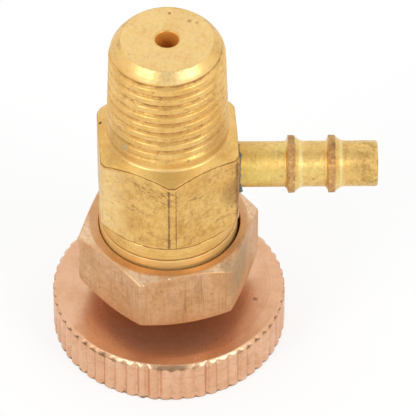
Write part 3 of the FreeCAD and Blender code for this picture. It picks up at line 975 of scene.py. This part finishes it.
@dataclass
class HoseTail:
    """Tube with two barbs, laid along X."""
    axis_height: float = 24.4
    radius: float = 2.565
    bore: float = 1.5
    root: float = 5.236
    reach: float = 23.4
    barbs: tuple[float, float] = (13.4, 17.9)
    barb_height: float = 0.67
    barb_crest: float = 0.65
    flare: float = 0.5
    slope: float = 1.15
    end_chamfer: float = 0.22
    flat: float = 7.725
    flat_turn: float = math.radians(3.0)
    run_down: float = math.radians(228.0)
    upper_blob: float = math.radians(338.0)

    def laid(self, radius: Array, along: Array, angle: Array) -> Array:
        """Points round the tail's axis: x is along, y radius times sin, z the axis plus radius times cos."""
        radius, along, angle = np.broadcast_arrays(radius, along, angle)
        return np.stack((along, radius * np.sin(angle), self.axis_height + radius * np.cos(angle)), axis=-1)

    def profile(self) -> tuple[Array, Array]:
        """Place along the tail and height over the tube of its outer rows.

        Formula: a flare rises as a power of the way, the crest is flat, and a slope falls as a power of the way
        that is left.

        Returns:
            Places and heights.
        """
        along: list[Array] = [spread(self.root, self.barbs[0] - self.flare, 16)[:-1]]
        lift: list[Array] = [np.zeros(15)]
        for index, rear in enumerate(self.barbs):
            way = np.linspace(0.0, 1.0, 9)
            along.append(rear - self.flare * (1.0 - way))
            lift.append(self.barb_height * way ** 2.8)
            crest = np.linspace(0.06, 0.94, 6)
            along.append(rear + self.barb_crest * crest)
            lift.append(self.barb_height * (1.0 - 0.03 * crest))
            along.append(rear + self.barb_crest + self.slope * way)
            lift.append(self.barb_height * 0.96 * (1.0 - way) ** 1.9)
            ends = self.barbs[index + 1] - self.flare if index + 1 < len(self.barbs) else self.reach - 0.35
            rest = spread(rear + self.barb_crest + self.slope, ends, 14)[1:-1]
            along.append(rest)
            lift.append(np.zeros(len(rest)))
        return np.concatenate(along), np.concatenate(lift)

    def build(self) -> bpy.types.Object:
        """Make the tail's mesh and dress it.

        Returns:
            The piece.
        """
        angle = np.linspace(0.0, TURN, 145)[:-1]
        along, lift = self.profile()
        along, lift = along[:, None], lift[:, None]
        top = lift / self.barb_height
        wobble = ripple(angle, 3, (5, 11, 17, 29))[None, :]
        wobble_two = ripple(angle + along * 0.8, 4, (7, 13, 23))
        radius = self.radius + lift * (1.0 + 0.05 * wobble * top) - 0.015 * top * np.abs(wobble_two)
        places = along + 0.05 * wobble * top
        chamfer = ((self.reach - self.end_chamfer, 0.0), (self.reach - 0.1, 0.07), (self.reach - 0.03, 0.16),
                   (self.reach, 0.3), (self.reach, 0.7))
        tip_along = np.array([row[0] for row in chamfer])[:, None]
        tip_radius = np.array([self.radius - row[1] for row in chamfer])[:, None]
        inner_along = np.array([self.reach, self.reach - 0.1, 20.0, 14.0, 9.0, self.root])[:, None]
        inner_radius = np.array([self.bore + 0.06] + [self.bore] * 5)[:, None]
        columns = len(angle)
        all_along = stacked((places, tip_along, inner_along), columns)
        all_radius = stacked((radius, tip_radius, inner_radius), columns)
        clean, inside = np.zeros_like(tip_along), np.zeros_like(inner_along)
        barb = stacked((smooth_step(top, 0.7, 0.95), clean, inside), columns)
        # A painted highlight: the foot of each barb's flare is painted paler in the crest value.
        shine = stacked((bell(top - 0.16, 0.1) * (lift > 0.0) * 0.7, clean, inside), columns)
        grime = stacked((bell(top - 0.86, 0.16) * 0.75, clean, inside + 1.0), columns)
        worked = 0.35 + 0.55 * smooth_step(all_along, 19.5, 22.5)
        shell = Grid(self.laid(all_radius, all_along, angle[None, :]),
                     {"edge": grime, "barb": barb, "crest": shine, "milled": worked}, ring=True)
        piece = make_piece("hose_tail_dressed", [shell], "body_group", "hose_tail")
        dress(piece, TAIL_BRASS.build())
        return piece

    def build_solder(self) -> bpy.types.Object:
        """Make the bead of solder round the tail's root, with its run-down at the lower front.

        Formula: a closed oval section is carried round the tube, its size wandering with the angle and
        swelling where the solder ran down.

        Returns:
            The piece.
        """
        angle = np.linspace(0.0, TURN, 161)[:-1][None, :]
        section = np.linspace(0.0, TURN, 19)[:-1][:, None]
        wobble = ripple(angle, 21, (3, 5, 8, 13, 21))
        swell = bell(around(angle, self.run_down), 0.38)
        swell_top = bell(around(angle, self.upper_blob), 0.2)
        thick = 0.13 + 0.05 * wobble + 0.42 * swell + 0.14 * swell_top
        thick = np.clip(thick, 0.05, None)
        wide = 0.21 + 0.07 * wobble + 0.14 * swell + 0.08 * swell_top
        wide = np.clip(wide, 0.08, None)
        flat = self.flat / math.cos(self.flat_turn) - np.sin(angle) * self.radius * math.tan(self.flat_turn)
        lumps = 1.0 + 0.12 * ripple(section * 2.0 + angle * 3.0, 8, (1, 2, 3))
        radius = self.radius - 0.06 + thick * (1.0 + np.cos(section)) * 0.62 * lumps
        along = flat - 0.1 + wide * (1.0 + np.sin(section)) * 0.75 * lumps
        shell = Grid(self.laid(radius, along, angle), {}, ring=True)
        piece = make_piece("solder_bead", [shell], "body_group", "solder_ring")
        dress(piece, SOLDER.build())
        return piece


VERDIGRIS = paint_colour(156, 178, 164)
SOOT = paint_colour(48, 30, 18)
# Painted glint colour: cream specks laid where glints of light fall on chamfers and threads.
PAINTED_GLINT = paint_colour(250, 238, 220)
# Painted shade colour: an olive patch that stands for the darker reflection on the gland nut's right side.
PAINTED_SHADE_OLIVE = paint_colour(150, 124, 84)
RUST = paint_colour(150, 92, 62)
TARNISH = paint_colour(178, 136, 72)
UMBER = paint_colour(148, 104, 58)
MOSS = paint_colour(226, 200, 96)
BODY_BRASS = MetalFinish(
    "body brass", paint_colour(239, 197, 118), paint_colour(227, 179, 98), paint_colour(176, 130, 68),
    paint_colour(126, 80, 46), paint_colour(252, 226, 170), Cut.TURNED, roughness=0.36, stain_share=0.66,
    # The bore colour is the painted bounce of light in the orifice.
    scratch_share=0.6, metal=0.92, bore=paint_colour(224, 152, 66),
    spots=(Spot((-4.9, -4.8, 31.7), 0.5, VERDIGRIS), Spot((-7.5, 1.3, 29.65), 0.28, SOOT),
           # The cream spot on the thread's front is a painted glint.
           Spot((-1.47, -6.37, 39.32), 0.16, PAINTED_GLINT), Spot((-6.2, -4.2, 31.6), 3.2, TARNISH, 0.5),
           Spot((5.9, -3.9, 32.0), 3.0, TARNISH, 0.5), Spot((7.6, -4.1, 24.5), 2.8, UMBER, 0.5),
           Spot((-6.3, 1.8, 37.5), 3.0, TARNISH, 0.4), Spot((0.3, 4.15, 43.6), 0.26, UMBER, 0.8),
           Spot((2.5, 2.9, 43.6), 0.3, UMBER, 0.6), Spot((3.3, 2.6, 43.6), 0.24, UMBER, 0.5)))
NUT_BRONZE = MetalFinish(
    "nut bronze", paint_colour(221, 175, 130), paint_colour(211, 161, 111), paint_colour(158, 112, 76),
    paint_colour(116, 80, 54), paint_colour(248, 222, 190), Cut.TURNED, roughness=0.42, stain_share=0.32,
    scratch_share=0.25, brush_share=0.55, metal=0.88,
    # The cream spots are painted glints on the top chamfer; the olive spots are painted shade, the darker
    # reflection on the nut's right side.
    spots=(Spot((-2.83, -9.85, 15.15), 0.13, PAINTED_GLINT, 0.8), Spot((0.04, -9.24, 15.53), 0.12, PAINTED_GLINT, 0.8),
           Spot((6.53, -7.19, 15.36), 1.1, PAINTED_SHADE_OLIVE, 0.6), Spot((8.6, -5.0, 13.0), 4.2, PAINTED_SHADE_OLIVE, 0.6)))
WHEEL_BRONZE = MetalFinish(
    "wheel bronze", paint_colour(236, 188, 152), paint_colour(226, 174, 134), paint_colour(176, 124, 88),
    paint_colour(132, 102, 68), paint_colour(250, 222, 184), Cut.TURNED, roughness=0.3, stain_share=0.45,
    scratch_share=0.0, pit_share=0.0, mark_depth=0.016, mark_share=0.5, rings=2.0, brush_share=0.3,
    grime_share=0.85, metal=0.88,
    # The cream spot on the rim's chamfer is a painted glint.
    spots=(Spot((9.77, -2.48, 5.38), 0.4, RUST, 0.7), Spot((-2.3, -13.0, 5.15), 0.3, PAINTED_GLINT),
           Spot((-3.05, -12.85, 0.1), 0.4, SOOT, 0.7), Spot((-10.1, -8.5, 0.3), 0.3, SOOT, 0.6)))
TAIL_BRASS = MetalFinish(
    "tail brass", paint_colour(246, 214, 134), paint_colour(238, 196, 118), paint_colour(160, 122, 62),
    paint_colour(110, 72, 40), paint_colour(255, 240, 176), Cut.TAIL, roughness=0.34, mark_depth=0.06,
    mark_share=0.6, stain_share=0.9, scratch_share=0.35, barb=paint_colour(180, 124, 80), metal=0.95,
    spots=(Spot((9.6, -1.8, 24.4), 4.4, MOSS, 0.3), Spot((21.6, -1.8, 25.9), 1.7, UMBER, 0.24)))
SOLDER = MetalFinish(
    "solder", paint_colour(124, 134, 136), paint_colour(58, 52, 44), paint_colour(60, 54, 46),
    paint_colour(54, 46, 38), paint_colour(170, 178, 176), Cut.CAST, roughness=0.4, metal=0.8,
    blotch_size=1500.0)


@dataclass
class InnerPieces:
    """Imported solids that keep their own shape: stem, tip, follower, washer and packing."""
    brass: tuple[str, ...] = ("gland_follower", "packing_washer")
    packing: tuple[str, ...] = ("packing_ring_1", "packing_ring_2")

    def build(self) -> None:
        """Dress each solid."""
        looks = {
            "stem": plain_finish("stem metal", paint_colour(216, 170, 124), 1.0, 0.34),
            "valve_tip": plain_finish("tip steel", paint_colour(190, 190, 190), 1.0, 0.3),
        }
        brass = plain_finish("inner brass", paint_colour(216, 180, 110), 1.0, 0.35)
        packing = plain_finish("packing", paint_colour(236, 234, 226), 0.0, 0.5)
        for name in self.brass:
            looks[name] = brass
        for name in self.packing:
            looks[name] = packing
        for name, material in looks.items():
            dress(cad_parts[name], material)
            log.info("%s keeps its solid", name)


@dataclass
class Studio:
    """Floor, light and camera."""
    elevation: float = math.radians(44.8)
    distance: float = 675.0
    target_height: float = 17.58
    focal_pixels: float = 6000.0
    image_pixels: float = 416.0
    axis_column: float = 168.3
    roll: float = math.radians(0.44)
    floor_gap: float = 0.02
    floor_white: float = 0.75
    front_dim: float = 0.5
    top_dim: float = 0.38
    lamp_azimuth: float = 48.0
    lamp_elevation: float = 36.0
    lamp_distance: float = 0.6
    lamp_size: tuple[float, float] = (0.26, 0.2)
    lamp_power: float = 0.8

    def camera(self) -> None:
        """Set the camera where the photograph was taken from.

        The axis of the valve stands left of the picture's middle, so the camera is turned a little to the
        right about its own place.
        """
        s, c = math.sin(self.elevation), math.cos(self.elevation)
        right, up, ahead = Vector((1.0, 0.0, 0.0)), Vector((0.0, s, c)), Vector((0.0, c, -s))
        rolled_right = right * math.cos(self.roll) - up * math.sin(self.roll)
        rolled_up = right * math.sin(self.roll) + up * math.cos(self.roll)
        aside = math.atan((self.image_pixels / 2.0 - self.axis_column) / self.focal_pixels)
        view = ahead * math.cos(aside) + rolled_right * math.sin(aside)
        view_right = rolled_right * math.cos(aside) - ahead * math.sin(aside)
        data = bpy.data.cameras.new("camera")
        data.sensor_width = 36.0
        data.lens = self.focal_pixels * data.sensor_width / self.image_pixels
        data.clip_start, data.clip_end = 0.01, 20.0
        made = bpy.data.objects.new("camera", data)
        spot = (Vector((0.0, 0.0, self.target_height)) - ahead * self.distance) * METRE
        axes = Matrix((view_right, rolled_up, -view)).transposed()
        made.matrix_world = Matrix.Translation(spot) @ axes.to_4x4()
        bpy.context.scene.collection.objects.link(made)
        bpy.context.scene.camera = made

    def floor(self) -> None:
        """Lay the pale floor, which shows white but keeps the valve's shadow."""
        mesh = bpy.data.meshes.new("floor")
        half, level = 3.0, -self.floor_gap * METRE
        corners = [(-half, -half, level), (half, -half, level), (half, half, level), (-half, half, level)]
        mesh.from_pydata(corners, [], [(0, 1, 2, 3)])
        made = bpy.data.objects.new("floor", mesh)
        bpy.context.scene.collection.objects.link(made)
        material = bpy.data.materials.new("floor")
        material.use_nodes = True
        book = NodeBook(material.node_tree)
        rays = book.node("ShaderNodeLightPath", {}, {})
        seen = Wire(book, rays.outputs["Is Camera Ray"]).larger(Wire(book, rays.outputs["Is Glossy Ray"]))
        seen = seen.larger(Wire(book, rays.outputs["Is Transmission Ray"]))
        pale = book.node("ShaderNodeBsdfDiffuse", {}, {"Color": (0.94, 0.94, 0.94)})
        white = book.node("ShaderNodeEmission", {}, {"Color": (1.0, 1.0, 1.0), "Strength": 1.0})
        both = book.node("ShaderNodeMixShader", {},
                         {0: seen * self.floor_white, 1: pale.outputs[0], 2: white.outputs[0]})
        book.node("ShaderNodeOutputMaterial", {}, {"Surface": both.outputs[0]})
        mesh.materials.append(material)

    def sky(self) -> None:
        """Surround the valve with a pale tent that is dimmer on the camera's side."""
        world = bpy.data.worlds.new("tent")
        bpy.context.scene.world = world
        world.use_nodes = True
        book = NodeBook(world.node_tree)
        rays = book.node("ShaderNodeLightPath", {}, {})
        way = book.node("ShaderNodeTexCoord", {}, {}).outputs["Generated"]
        toward = (0.0, -math.cos(self.elevation), math.sin(self.elevation))
        facing = book.node("ShaderNodeVectorMath", {"operation": "DOT_PRODUCT"}, {0: way, 1: toward})
        front = Wire(book, facing.outputs["Value"]).ease(0.8, 0.97)
        top = book.axes(way)[2].ease(850.0, 990.0)
        level = 1.0 - front * self.front_dim - top * self.top_dim
        seen = Wire(book, rays.outputs["Is Camera Ray"])
        level = level + seen * (1.0 - level)
        back = book.node("ShaderNodeBackground", {}, {"Color": (1.0, 1.0, 1.0), "Strength": level})
        book.node("ShaderNodeOutputWorld", {}, {"Surface": back.outputs[0]})

    def lamp(self, name: str, azimuth: float) -> None:
        """Hang one soft lamp that faces the valve.

        Args:
            name: Name of the lamp.
            azimuth: Degrees round from the camera's side, towards +X.
        """
        data = bpy.data.lights.new(name, "AREA")
        data.shape = "RECTANGLE"
        data.size, data.size_y = self.lamp_size
        data.energy = self.lamp_power
        made = bpy.data.objects.new(name, data)
        turn, rise = math.radians(azimuth), math.radians(self.lamp_elevation)
        way = Vector((math.sin(turn) * math.cos(rise), -math.cos(turn) * math.cos(rise), math.sin(rise)))
        centre = Vector((0.0, 0.0, 0.02))
        made.location = centre + way * self.lamp_distance
        made.rotation_mode = "QUATERNION"
        made.rotation_quaternion = (-way).to_track_quat("-Z", "Y")
        bpy.context.scene.collection.objects.link(made)

    def build(self) -> None:
        """Set up the whole studio."""
        bpy.context.scene.view_settings.view_transform = "Standard"
        self.camera()
        self.floor()
        self.sky()
        self.lamp("left softbox", -self.lamp_azimuth)
        self.lamp("right softbox", self.lamp_azimuth)
        log.info("studio ready")


def main() -> None:
    """Build the studio and the pieces in order."""
    logging.basicConfig(level=logging.INFO, format="%(name)s: %(message)s")
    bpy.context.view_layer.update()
    Studio().build()
    ValveBody().build()
    GlandNut().build()
    tail = HoseTail()
    tail.build()
    tail.build_solder()
    Handwheel().build()
    InnerPieces().build()


if __name__ == "__main__":
    main()
